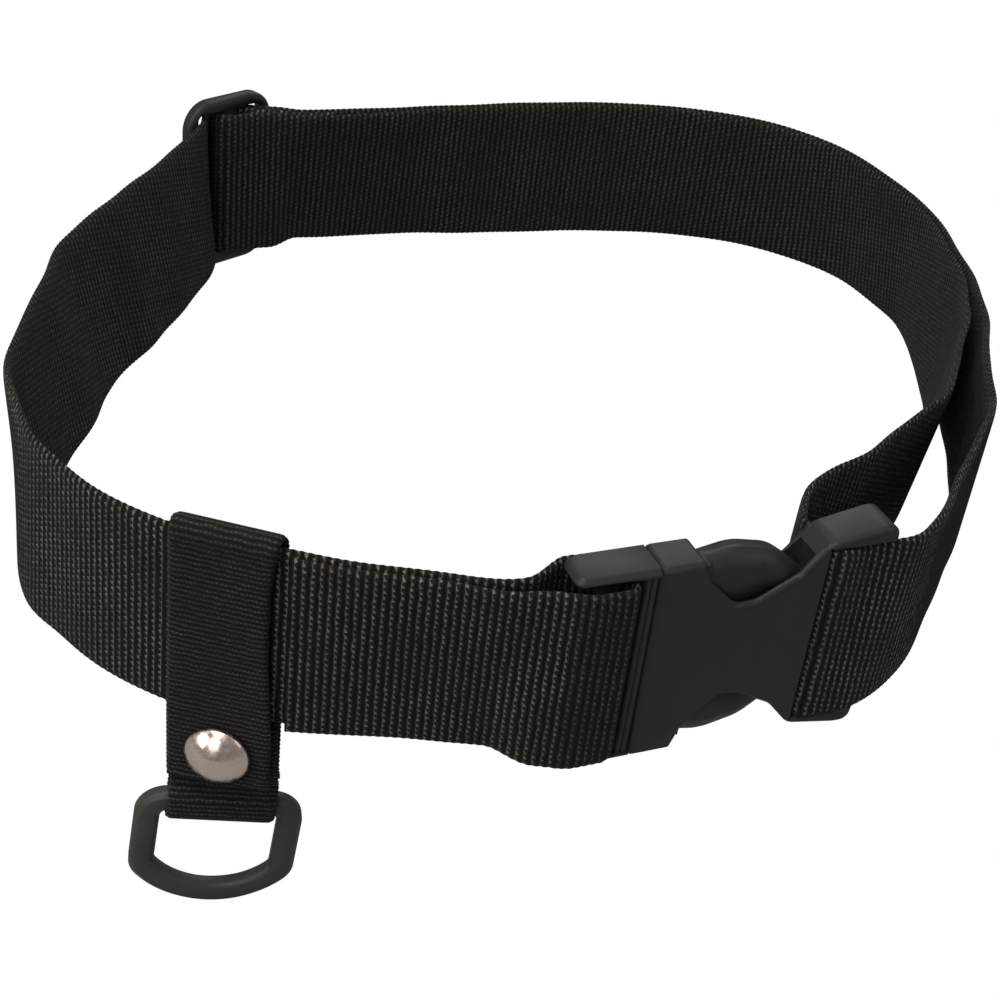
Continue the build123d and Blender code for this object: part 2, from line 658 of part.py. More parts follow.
webbing_outer_layer.part.label = "webbing_outer_layer"
export_step(webbing_outer_layer.part, "parts/webbing_outer_layer.step")
webbing_inner_layer.part.label = "webbing_inner_layer"
export_step(webbing_inner_layer.part, "parts/webbing_inner_layer.step")
webbing_left_side.part.label = "webbing_left_side"
export_step(webbing_left_side.part, "parts/webbing_left_side.step")
webbing_front_run.part.label = "webbing_front_run"
export_step(webbing_front_run.part, "parts/webbing_front_run.step")
buckle_socket.part.label = "buckle_socket"
export_step(buckle_socket.part, "parts/buckle_socket.step")
buckle_plug.part.label = "buckle_plug"
export_step(buckle_plug.part, "parts/buckle_plug.step")
upper_prong.part.label = "upper_prong"
export_step(upper_prong.part, "parts/upper_prong.step")
lower_prong.part.label = "lower_prong"
export_step(lower_prong.part, "parts/lower_prong.step")
tri_glide.part.label = "tri_glide"
export_step(tri_glide.part, "parts/tri_glide.step")
hanger_strap.part.label = "hanger_strap"
export_step(hanger_strap.part, "parts/hanger_strap.step")
hanger_flap.part.label = "hanger_flap"
export_step(hanger_flap.part, "parts/hanger_flap.step")
d_ring.part.label = "d_ring"
export_step(d_ring.part, "parts/d_ring.step")
snap_cap.part.label = "snap_cap"
export_step(snap_cap.part, "parts/snap_cap.step")
snap_socket.part.label = "snap_socket"
export_step(snap_socket.part, "parts/snap_socket.step")
snap_stud.part.label = "snap_stud"
export_step(snap_stud.part, "parts/snap_stud.step")
snap_eyelet.part.label = "snap_eyelet"
export_step(snap_eyelet.part, "parts/snap_eyelet.step")
box_stitch.part.label = "box_stitch"
export_step(box_stitch.part, "parts/box_stitch.step")
tail_stitch.part.label = "tail_stitch"
export_step(tail_stitch.part, "parts/tail_stitch.step")

print("hanger travel: centre", [round(v, 3) for v in travel_centre], "radius", travel_radius)
print("hanger: centre", round(hanger_x, 3), round(hanger_y, 3), "heading",
      round(degrees(hanger_heading), 3), "corner starts", round(degrees(corner_start), 3))
print("flap hinge: out", round(fold_middle, 3), "z", round(fold_top + hanger_thickness / 2, 3))
print("ring bar:", [round(v, 3) for v in ring_centre], "along", [round(v, 5) for v in loop_along],
      "out", [round(v, 5) for v in loop_out])
print("prong pivots:", on_buckle(prong_pivot_at, 0), "+-", prong_pivot_off)
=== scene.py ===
"""Webbing waist belt with a side-release buckle, a length adjuster and a hanger for a ring.

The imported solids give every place. The hard parts keep their solids and get their finishes
here; the straps, the stitching and the hanger are made again as woven surfaces that follow
the same routes. Lengths are in millimetres until a mesh is written, in the belt's own frame:
+Z up along the wearer, +Y to the wearer's back, origin in the middle of the waist loop.
"""
import logging
import math
from dataclasses import dataclass
from enum import Enum
from functools import partial
from typing import Callable

import bmesh
import bpy
import numpy as np
from bpy.types import ID, Material, Mesh, Node, NodeSocket, NodeTree, Object, World
from mathutils import Matrix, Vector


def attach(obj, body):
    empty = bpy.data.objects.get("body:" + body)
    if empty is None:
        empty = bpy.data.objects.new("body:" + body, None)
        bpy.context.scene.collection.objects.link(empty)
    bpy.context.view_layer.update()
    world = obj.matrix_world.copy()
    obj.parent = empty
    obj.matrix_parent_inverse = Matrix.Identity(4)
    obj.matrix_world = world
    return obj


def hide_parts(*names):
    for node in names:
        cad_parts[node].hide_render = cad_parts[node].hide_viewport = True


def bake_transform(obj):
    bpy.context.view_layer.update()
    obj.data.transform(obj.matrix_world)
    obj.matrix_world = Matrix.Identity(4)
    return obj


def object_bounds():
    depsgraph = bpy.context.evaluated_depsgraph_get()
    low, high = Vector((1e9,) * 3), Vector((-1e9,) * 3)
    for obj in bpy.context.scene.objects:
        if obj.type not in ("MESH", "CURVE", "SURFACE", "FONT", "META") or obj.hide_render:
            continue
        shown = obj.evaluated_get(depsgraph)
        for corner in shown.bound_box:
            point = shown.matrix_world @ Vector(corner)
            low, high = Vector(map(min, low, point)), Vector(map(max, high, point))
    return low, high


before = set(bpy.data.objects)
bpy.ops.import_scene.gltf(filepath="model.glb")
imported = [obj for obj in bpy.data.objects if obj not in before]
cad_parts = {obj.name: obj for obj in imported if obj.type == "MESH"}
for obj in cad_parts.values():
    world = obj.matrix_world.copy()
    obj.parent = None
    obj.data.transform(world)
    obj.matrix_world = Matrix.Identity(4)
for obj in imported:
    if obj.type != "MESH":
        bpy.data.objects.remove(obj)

LOG = logging.getLogger("belt")
MM = 0.001
CAD_BOX = [list(corner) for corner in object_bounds()]

WHITE = "ffffff"
BELT_RIB = 1.95  # distance between the cross ribs of the wide webbing
HANGER_RIB = 1.32  # and of the narrow webbing


# --- Shared tools ---

def linear(hex_colour: str) -> tuple[float, float, float, float]:
    """Turn six sRGB hex digits into the linear values that shaders take, with an alpha of one."""
    channels = [int(hex_colour[i:i + 2], 16) / 255 for i in (0, 2, 4)]
    curve = [c / 12.92 if c <= 0.04045 else ((c + 0.055) / 1.055) ** 2.4 for c in channels]
    return (*curve, 1.0)


def add_node(tree: NodeTree, kind: str, inputs: dict | None = None, **settings) -> Node:
    """Add a node, set its properties, and link or fill its inputs.

    Args:
        tree: node tree that gets the node.
        kind: the node's type name after its ShaderNode prefix.
        inputs: input name or index to a value, to an output socket, or to a node, which
            stands for its first output.
        **settings: the node's own properties.
    """
    node = tree.nodes.new("ShaderNode" + kind)
    for key, value in settings.items():
        setattr(node, key, value)
    for key, value in (inputs or {}).items():
        if isinstance(value, Node):
            value = value.outputs[0]
        if isinstance(value, NodeSocket):
            tree.links.new(value, node.inputs[key])
        else:
            node.inputs[key].default_value = value
    return node


def emptied(owner: Material | World) -> Callable[..., Node]:
    """Clear the nodes of a material or a world, and return add_node for its tree."""
    owner.use_nodes = True
    owner.node_tree.nodes.clear()
    return partial(add_node, owner.node_tree)


def add_surface(add: Callable, height: Node, depth_mm: float, inputs: dict,
                strength: float = 1.0) -> None:
    """End a material with a surface that has a bump of the given depth, and the output."""
    bump = add("Bump", {"Height": height, "Strength": strength, "Distance": depth_mm * MM})
    add("OutputMaterial", {0: add("BsdfPrincipled", {**inputs, "Normal": bump})})


def show_white(add: Callable, output: str, plain: Node, white: Node) -> None:
    """Show one shader to the camera, and the plain one to everything else."""
    path = add("LightPath")
    add(output, {0: add("MixShader", {0: path.outputs["Is Camera Ray"], 1: plain, 2: white})})


def new_object(name: str, data: ID) -> Object:
    """Put a mesh, a lamp or a camera into the scene as an object."""
    made = bpy.data.objects.new(name, data)
    bpy.context.scene.collection.objects.link(made)
    return made


def face_uv(u: tuple, v: tuple) -> np.ndarray:
    """Pattern coordinates of quads that run from u[0] to u[1] and from v[0] to v[1]."""
    (u0, u1), (v0, v1) = u, v
    corners = np.stack([u0, u0, u1, u1], axis=-1), np.stack([v0, v1, v1, v0], axis=-1)
    return np.stack(corners, axis=-1).reshape(-1, 2)


def write_mesh(name: str, points: np.ndarray, faces: list, uv: np.ndarray) -> Object:
    """Put points and faces into a new object at the origin, with every face outwards.

    Where the enclosed volume, the sum over triangles of a . (b x c) / 6, is below zero, the
    faces point inwards and are all turned round.

    Args:
        name: the object's and the mesh's name.
        points: (n, 3) corners in millimetres.
        faces: corner indices of each face.
        uv: (loops, 2) pattern coordinates in millimetres, in the order of the faces' corners.

    Returns:
        The linked object.
    """
    mesh = bpy.data.meshes.new(name)
    mesh.from_pydata((points * MM).tolist(), [], faces)
    layer = mesh.uv_layers.new(name="weave")
    layer.data.foreach_set("uv", uv.astype(np.float32).ravel())
    mesh.calc_loop_triangles()
    triangles = np.zeros(len(mesh.loop_triangles) * 3, np.int32)
    mesh.loop_triangles.foreach_get("vertices", triangles)
    a, b, c = (points[triangles.reshape(-1, 3)[:, k]] for k in range(3))
    if np.einsum("ij,ij->", a, np.cross(b, c)) < 0:
        mesh.flip_normals()
    mesh.polygons.foreach_set("use_smooth", np.ones(len(mesh.polygons), bool))
    mesh.update()
    return new_object(name, mesh)


def unit(vectors: np.ndarray) -> np.ndarray:
    """Scale vectors, which lie along the last axis, to a length of one."""
    return vectors / np.linalg.norm(vectors, axis=-1, keepdims=True)


def smooth_step(value: np.ndarray, start: float, end: float) -> np.ndarray:
    """Rise from 0 at start to 1 at end along 3t^2 - 2t^3."""
    t = np.clip((value - start) / (end - start), 0.0, 1.0)
    return t * t * (3 - 2 * t)


def within(value: np.ndarray, start: float, end: float, ramp: float) -> np.ndarray:
    """Give 1 from start to end, and fall smoothly to 0 over a ramp on either side."""
    return smooth_step(value, start - ramp, start) * smooth_step(-value, -end - ramp, -end)


def ripple(distance: np.ndarray, seed: int, waves: tuple = (61.0, 37.0, 23.0)) -> np.ndarray:
    """Slow irregular wave of about unit height: a sum of sines with seeded phases."""
    phases = np.random.default_rng(seed).uniform(0, 2 * np.pi, len(waves))
    return sum(np.sin(2 * np.pi * distance / w + p) for w, p in zip(waves, phases)) / len(waves) ** 0.5


def drawn_on(values: np.ndarray, count: int) -> np.ndarray:
    """Lengthen a row by a count of values at each end, at the slope that it has there."""
    steps = np.arange(1, count + 1)
    return np.concatenate([values[0] - (values[1] - values[0]) * steps[::-1], values,
                           values[-1] + (values[-1] - values[-2]) * steps])


@dataclass(frozen=True)
class Route:
    """Line of a strap seen edge-on: straight runs between corners that are rounded.

    The two coordinates are plan x and y for the belt, and out and up for the hanger.
    """
    corners: tuple
    radii: tuple
    arc_step: float = 0.2

    def arc(self, before: np.ndarray, corner: np.ndarray, after: np.ndarray, radius: float) -> np.ndarray:
        """Points of one rounded corner, which touches both runs at radius * tan(turn / 2) from it."""
        way_in, way_out = unit(corner - before), unit(after - corner)
        cross = way_in[0] * way_out[1] - way_in[1] * way_out[0]
        turn = math.atan2(cross, float(way_in @ way_out))
        start = corner - way_in * radius * math.tan(abs(turn) / 2)
        across = np.array([-way_in[1], way_in[0]]) * math.copysign(1.0, turn)
        count = max(3, int(abs(turn) * radius / self.arc_step))
        angles = np.linspace(0, abs(turn), count)[:, None]
        return start + across * radius * (1 - np.cos(angles)) + way_in * radius * np.sin(angles)

    def line(self, step: float) -> tuple[np.ndarray, np.ndarray]:
        """Points at even distances along the route.

        Args:
            step: distance between points.

        Returns:
            (n, 2) points and their (n,) distances from the start.
        """
        corners = np.array(self.corners, float)
        arcs = [self.arc(*run) for run in zip(corners, corners[1:], corners[2:], self.radii)]
        dense = np.concatenate([corners[:1], *arcs, corners[-1:]])
        run = np.concatenate([[0.0], np.cumsum(np.linalg.norm(np.diff(dense, axis=0), axis=1))])
        count = max(2, int(round(run[-1] / step)) + 1)
        distance = np.linspace(0, run[-1], count)
        points = np.stack([np.interp(distance, run, dense[:, k]) for k in range(2)], axis=1)
        return points, distance

    def soft_line(self, step: float, soften: float, held: tuple) -> tuple[np.ndarray, np.ndarray]:
        """The line blended with its own running average, so that its curvature changes gently.

        Args:
            step: distance between points.
            soften: spread of the bell-shaped running average.
            held: (from, to) distances where the line keeps its exact shape, as both ends do.
        """
        points, distance = self.line(step)
        ramp = 3 * soften
        reach = int(ramp / step)
        weights = np.exp(-0.5 * (np.arange(-reach, reach + 1) * step / soften) ** 2)
        weights /= weights.sum()
        padded = np.concatenate([
            2 * points[0] - points[reach:0:-1], points, 2 * points[-1] - points[-2:-reach - 2:-1]])
        average = np.stack([np.convolve(padded[:, k], weights, "valid") for k in range(2)], axis=1)
        free = (smooth_step(distance, 0, 2 * soften)
                * smooth_step(distance[-1] - distance, 0, 2 * soften))
        for start, end in held:
            free *= 1 - within(distance, start, end, ramp)
        return points + (average - points) * free[:, None], distance


def sideways(points: np.ndarray) -> np.ndarray:
    """Unit normals to the right of a line of (n, 2) points, from central differences."""
    ahead = unit(np.gradient(points, axis=0))
    return np.stack([ahead[:, 1], -ahead[:, 0]], axis=1)


@dataclass
class Ribbon:
    """Woven strap along a line in space, with a rounded section and ribs across it.

    At a distance s along it and a height v across it, the middle surface lies at
    middle(s) + across(s) * v, and the two faces stand off along the normal by half the
    thickness times (1 - |2v / width|^n)^(1/2), plus the relief of the ribs. Its columns
    lie closer together towards the edges, by the share called crowding.
    """
    middle: np.ndarray
    across: np.ndarray
    normal: np.ndarray
    distance: np.ndarray
    width: float
    thickness: float
    rib: float
    relief: float
    columns: int
    start_at: float = 0.0
    sealed: tuple = ()
    edge_power: float = 16.0
    crowding: float = 0.14
    scallop: float = 0.1
    scallop_from: float = 0.97

    def place(self, s: np.ndarray, v: np.ndarray, height: np.ndarray) -> np.ndarray:
        """Points at distance s, height v and a height over the middle surface, outwards."""
        def at(values: np.ndarray) -> np.ndarray:
            """Interpolate a row of vectors at the distances s."""
            return np.stack([np.interp(s, self.distance, values[:, k]) for k in range(3)], axis=-1)
        return at(self.middle) + at(self.across) * v[..., None] + at(self.normal) * height[..., None]

    def rib_wave(self, s: np.ndarray) -> np.ndarray:
        """Cosine that is 1 on the crest of every rib."""
        return np.cos(2 * np.pi * (s + self.start_at) / self.rib)

    def half_thickness(self, s: np.ndarray, v: np.ndarray) -> np.ndarray:
        """Height of a face over the middle surface, with ribs and sealed ends."""
        share = np.clip(np.abs(v) / (self.width / 2), 0, 1)
        body = self.thickness / 2 * np.sqrt(np.clip(1 - share ** self.edge_power, 0, 1))
        ribs = 0.5 + 0.5 * self.rib_wave(s)
        swell = np.zeros_like(s)
        for place, rise, reach in self.sealed:
            swell = swell + rise * np.exp(-((s - place) / reach) ** 2)
        return body * (1 + swell) - self.relief * (1 - ribs) * (1 - share ** 6)

    def make(self, name: str) -> Object:
        """Build the closed strap, with its pattern coordinates in millimetres.

        A ring's points run over the front face from v = -width / 2 up, and back down the
        other face. The pattern's second coordinate unrolls the ring in the same order.
        """
        columns = self.columns
        even = np.linspace(-1, 1, columns)
        share = (1 - self.crowding) * even - self.crowding * np.cos(np.linspace(0, np.pi, columns))
        loop = np.concatenate([share, share[-2:0:-1]]) * self.width / 2
        side = np.concatenate([np.ones(columns), -np.ones(columns - 2)])
        side[[0, columns - 1]] = 0
        s, v = np.meshgrid(self.distance, loop, indexing="ij")
        lip = np.abs(v) / (self.width / 2)
        scallop = self.scallop * self.rib_wave(s) * (lip > self.scallop_from)
        points = self.place(s, v + np.sign(v) * scallop, self.half_thickness(s, v) * side)
        rows, ring = points.shape[:2]
        unrolled = np.concatenate([loop[:columns] + self.width / 2, self.width * 1.5 - loop[columns:]])
        unrolled = np.append(unrolled, 2 * self.width)
        row, column = np.meshgrid(np.arange(rows - 1), np.arange(ring), indexing="ij")
        following = (column + 1) % ring
        quads = np.stack([row * ring + column, row * ring + following,
                          (row + 1) * ring + following, (row + 1) * ring + column], axis=-1)
        along = self.distance + self.start_at
        faces = quads.reshape(-1, 4).tolist()
        loops = [face_uv((along[row], along[row + 1]), (unrolled[column], unrolled[column + 1]))]
        front = np.arange(columns)
        back = (ring - front) % ring
        back[-1] = columns - 1
        for first, level, turned in ((0, along[0], False), ((rows - 1) * ring, along[-1], True)):
            for j in range(columns - 1):
                corners = dict.fromkeys([front[j], back[j], back[j + 1], front[j + 1]])
                cap = [int(first + k) for k in corners]
                faces.append(cap[::-1] if turned else cap)
                loops.append(np.tile((level, unrolled[j]), (len(cap), 1)))
        return write_mesh(name, points.reshape(-1, 3), faces, np.concatenate(loops))


# --- Finishes ---

@dataclass(frozen=True)
class WovenPolyester:
    """Black spun-polyester webbing, woven with heavy cross ribs: dull, with a dry sheen.

    The crest of every rib carries a thin painted highlight, drawn out into a small hook where
    each yarn dives under. The grooves between the ribs carry painted shade, nearly black. On the
    face that lies against the wearer, which is turned from the light, the painted highlight is
    dimmer.

    Attributes:
        groove_shade, ground, glint: painted shade in the grooves, the colour on the ribs, and the
        painted highlight on their crests.
        slant, stagger: a hook's lean across its rib, and its shift from rib to rib, in yarns.
        hook_reach, hook_power: how far a hook is drawn out, in ribs, and how slim it is.
        crest_near, crest_far: edges of the painted highlight across a rib, from 0 to 1.
        shaded_face_from, shaded_face_until: beyond this pattern height the face is turned from the
        light and its painted highlight is dimmed, up to the distance at which the strap turns its
        other face outwards.
    """
    name: str
    rib_mm: float
    yarn_mm: float
    depth_mm: float
    groove_shade: str
    ground: str
    glint: str
    slant: float
    hook_reach: float
    hook_power: float = 2.0
    glint_share: float = 0.9
    stagger: float = 0.37
    crest_near: tuple = (0.50, 0.61)
    crest_far: tuple = (0.60, 0.71)
    groove_shade_edge: tuple = (0.25, 0.8)
    shaded_face_from: float = 1000.0
    shaded_face_until: float = 925.0

    def paint(self, add: Callable) -> None:
        """Draw the webbing on the strap's own UV map, which is in millimetres."""
        uv = add("TexCoord").outputs["UV"]
        # single fibres, about a third of a millimetre apart, which is as fine as can be seen
        fibres = add("TexNoise", {
            "Vector": uv, "Scale": 3.0, "Detail": 4.0, "Roughness": 0.65}, noise_dimensions="2D")
        split = self.wandering(add, uv)
        rib_place, hook, crest = self.crests(add, split)
        glint = self.glints(add, uv, split, hook, crest)
        mottle = add("MapRange", {0: fibres, 1: 0.3, 2: 0.7, 3: 0.45, 4: 1.0})
        share = add("Math", {0: glint, 1: mottle}, operation="MULTIPLY")
        # painted shade: the colour falls from the ground colour to a darker one in the grooves between the
        # ribs
        turn = add("Math", {0: rib_place, 1: math.pi}, operation="MULTIPLY")
        back = add("Math", {0: turn}, operation="SINE")
        raised = add("MapRange", {0: back, 1: self.groove_shade_edge[0], 2: self.groove_shade_edge[1], 3: 0.0, 4: 1.0})
        shaded_ground = add("Mix", {0: raised, 6: linear(self.groove_shade), 7: linear(self.ground)}, data_type="RGBA")
        # painted highlight: the colour is mixed towards the glint colour on the crests of the ribs
        colour = add("Mix", {0: share, 6: shaded_ground.outputs[2], 7: linear(self.glint)}, data_type="RGBA")
        fuzz = add("Math", {0: fibres, 1: 0.3, 2: crest}, operation="MULTIPLY_ADD")
        gloss = add("MapRange", {0: share, 1: 0.0, 2: 1.0, 3: 0.06, 4: 0.4})
        add_surface(add, fuzz, self.depth_mm, {
            "Base Color": colour.outputs[2], "Roughness": 0.8, "IOR": 1.5, "Specular IOR Level": gloss,
            "Sheen Weight": 0.05, "Sheen Roughness": 0.5})

    def wandering(self, add: Callable, uv: NodeSocket) -> Node:
        """Let the pattern wander by a few tenths of a millimetre over each 3 mm, then split it."""
        wander = add("TexNoise", {"Vector": uv, "Scale": 0.35, "Detail": 2.0}, noise_dimensions="2D")
        shift = add("VectorMath", {0: wander.outputs["Color"], 1: (0.5, 0.5, 0.5)}, operation="SUBTRACT")
        shifted = add("VectorMath", {0: shift, 1: (0.7, 0.9, 0.0), 2: uv}, operation="MULTIPLY_ADD")
        return add("SeparateXYZ", {0: shifted})

    def crests(self, add: Callable, split: Node) -> tuple:
        """Draw the place across each rib, the hook of each yarn, and the mask of the crest's painted
        highlight.

        The crest's far edge is straight, and its near edge is drawn out at every yarn by
        hook_reach * sin(pi * yarn place)^hook_power.
        """
        rib = add("Math", {0: split.outputs["X"], 1: self.rib_mm}, operation="DIVIDE")
        rib_index = add("Math", {0: rib}, operation="FLOOR")
        rib_place = add("Math", {0: rib}, operation="FRACT")
        late = add("Math", {0: rib_index, 1: self.stagger}, operation="MULTIPLY")
        yarn = add("Math", {0: split.outputs["Y"], 1: 1 / self.yarn_mm, 2: late}, operation="MULTIPLY_ADD")
        leaning = add("Math", {0: rib_place, 1: self.slant, 2: yarn}, operation="MULTIPLY_ADD")
        yarn_place = add("Math", {0: leaning}, operation="FRACT")
        angle = add("Math", {0: yarn_place, 1: math.pi}, operation="MULTIPLY")
        sine = add("Math", {0: angle}, operation="SINE")
        hook = add("Math", {0: sine, 1: self.hook_power}, operation="POWER")
        reached = add("Math", {0: hook, 1: self.hook_reach, 2: rib_place}, operation="MULTIPLY_ADD")
        near = add("MapRange", {
            0: reached, 1: self.crest_near[0], 2: self.crest_near[1]}, interpolation_type="SMOOTHSTEP")
        far = add("MapRange", {
            0: rib_place, 1: self.crest_far[0], 2: self.crest_far[1], 3: 1.0, 4: 0.0},
            interpolation_type="SMOOTHSTEP")
        crest = add("Math", {0: near, 1: far}, operation="MULTIPLY")
        return rib_place, hook, crest

    def glints(self, add: Callable, uv: NodeSocket, split: Node,
               hook: Node, crest: Node) -> Node:
        """Paint the highlight on the crests unevenly: brightest at the hooks, and dimmer on the face
        that is turned from the light.

        Its strength changes from yarn to yarn, over about 2 mm, and in patches, over 17 mm.
        """
        # patches, about 17 mm across, in which the painted highlight is weaker
        highlight_patches = add("TexNoise", {"Vector": uv, "Scale": 0.06, "Detail": 3.0}, noise_dimensions="2D")
        uneven = add("TexNoise", {"Vector": uv, "Scale": 0.45, "Detail": 1.0}, noise_dimensions="2D")
        spread = add("MapRange", {0: uneven, 1: 0.32, 2: 0.62, 3: 0.6, 4: 1.0})
        glint = add("Math", {0: crest, 1: spread}, operation="MULTIPLY")
        patchy_highlight = add("MapRange", {0: highlight_patches, 1: 0.3, 2: 0.7, 3: self.glint_share * 0.55, 4: self.glint_share})
        glinting = add("Math", {0: glint, 1: patchy_highlight}, operation="MULTIPLY")
        beads = add("MapRange", {0: hook, 1: 0.0, 2: 1.0, 3: 0.7, 4: 1.0})
        # painted shade: the highlight is dimmed to 0.4 on the face that is turned from the light
        inside = add("Math", {0: split.outputs["Y"], 1: self.shaded_face_from}, operation="GREATER_THAN")
        single = add("Math", {0: split.outputs["X"], 1: self.shaded_face_until}, operation="LESS_THAN")
        plain = add("Math", {0: inside, 1: single}, operation="MULTIPLY")
        face_shade = add("MapRange", {0: plain, 1: 0.0, 2: 1.0, 3: 1.0, 4: 0.4})
        beads_and_face_shade = add("Math", {0: beads, 1: face_shade}, operation="MULTIPLY")
        return add("Math", {0: glinting, 1: beads_and_face_shade}, operation="MULTIPLY")


@dataclass(frozen=True)
class MouldedAcetal:
    """Black acetal, injection moulded in a finely spark-eroded mould: even satin, no gloss.

    The grain is coarser than the real one, so that it shows. The colour and the roughness
    drift slightly, as the melt flowed.
    """
    name: str
    colour: str
    roughness: float = 0.46
    grain_mm: float = 0.35
    depth_mm: float = 0.012
    flow_mm: float = 14.0
    lightening: float = 1.16

    def paint(self, add: Callable) -> None:
        """Draw the surface on object coordinates, which are in metres."""
        place = add("TexCoord").outputs["Object"]
        grain = add("TexNoise", {
            "Vector": place, "Scale": 1 / (self.grain_mm * MM), "Detail": 2.0, "Roughness": 0.6})
        flow = add("TexNoise", {"Vector": place, "Scale": 1 / (self.flow_mm * MM), "Detail": 3.0})
        tone = add("MapRange", {0: flow, 1: 0.3, 2: 0.7, 3: 0.0, 4: 1.0})
        base = linear(self.colour)
        lighter = (*(min(1.0, channel * self.lightening) for channel in base[:3]), 1.0)
        colour = add("Mix", {0: tone, 6: base, 7: lighter}, data_type="RGBA")
        rough = add("MapRange", {0: flow, 1: 0.3, 2: 0.7, 3: self.roughness - 0.04, 4: self.roughness + 0.05})
        add_surface(add, grain, self.depth_mm, {
            "Base Color": colour.outputs[2], "Roughness": rough, "IOR": 1.48, "Specular IOR Level": 0.4})


@dataclass(frozen=True)
class PolishedNickel:
    """Nickel-plated brass, stamped and barrel polished: a bright mirror with faint rubbing marks."""
    name: str
    colour: str = "f4e2d4"
    roughness: float = 0.22
    rub_mm: float = 1.6
    depth_mm: float = 0.008

    def paint(self, add: Callable) -> None:
        """Draw the surface on object coordinates, which are in metres."""
        place = add("TexCoord").outputs["Object"]
        rub = add("TexNoise", {
            "Vector": place, "Scale": 1 / (self.rub_mm * MM), "Detail": 5.0, "Roughness": 0.7})
        rough = add("MapRange", {0: rub, 1: 0.35, 2: 0.7, 3: self.roughness * 0.7, 4: self.roughness * 1.9})
        add_surface(add, rub, self.depth_mm, {
            "Base Color": linear(self.colour), "Metallic": 1.0, "Roughness": rough})


@dataclass(frozen=True)
class SewingThread:
    """Bonded nylon sewing thread, three plies twisted: black with a soft lustre."""
    name: str
    colour: str = "232220"
    ply_mm: float = 0.45
    depth_mm: float = 0.1

    def paint(self, add: Callable) -> None:
        """Draw the plies on the thread's UV map: millimetres along, turns round."""
        uv = add("TexCoord").outputs["UV"]
        split = add("SeparateXYZ", {0: uv})
        turn = add("Math", {
            0: split.outputs["X"], 1: 1 / self.ply_mm, 2: split.outputs["Y"]}, operation="MULTIPLY_ADD")
        place = add("Math", {0: turn}, operation="FRACT")
        angle = add("Math", {0: place, 1: math.pi}, operation="MULTIPLY")
        ply = add("Math", {0: angle}, operation="SINE")
        add_surface(add, ply, self.depth_mm, {
            "Base Color": linear(self.colour), "Roughness": 0.55, "Sheen Weight": 0.1}, strength=0.8)


class Finish(Enum):
    """The belt's finishes, each by the material slot of the record that it belongs to."""
    WEBBING = ("webbing", WovenPolyester(
        "polyester_webbing_ribbed", rib_mm=BELT_RIB, yarn_mm=1.66, depth_mm=0.45, groove_shade="141411",
        ground="282721", glint="a09d91", slant=0.6, hook_reach=0.3, hook_power=3.0, shaded_face_from=50.0))
    HANGER = ("hanger_webbing", WovenPolyester(
        "polyester_webbing_fine", rib_mm=HANGER_RIB, yarn_mm=1.15, depth_mm=0.3, groove_shade="191915",
        ground="292823", glint="6a675e", slant=0.1, hook_reach=0.22, glint_share=0.8))
    BUCKLE = ("buckle_plastic", MouldedAcetal("acetal_moulded_black", "292926"))
    RING = ("ring_plastic", MouldedAcetal("acetal_moulded_ring", "3d3d38", roughness=0.42))
    SNAP = ("snap_metal", PolishedNickel("nickel_plated_brass"))
    THREAD = ("thread", SewingThread("nylon_thread_black"))

    def dress(self, piece: Object) -> None:
        """Give a piece this finish, built the first time that it is asked for."""
        slot, recipe = self.value
        material = bpy.data.materials.get(recipe.name)
        if material is None:
            material = bpy.data.materials.new(recipe.name)
            recipe.paint(emptied(material))
        piece.data.materials.clear()
        piece.data.materials.append(material)


# --- Camera, floor and light ---

# each lamp's name, place, width and power in watts
LAMPS = (
    ("top", (-200.0, -250.0, 950.0), 600.0, 5.0),
    ("front", (-350.0, -900.0, 650.0), 450.0, 2.2),
    ("left", (-900.0, -500.0, 450.0), 500.0, 2.2),
    ("right", (800.0, -250.0, 500.0), 500.0, 0.8),
    ("back", (100.0, 900.0, 700.0), 600.0, 2.0),
)


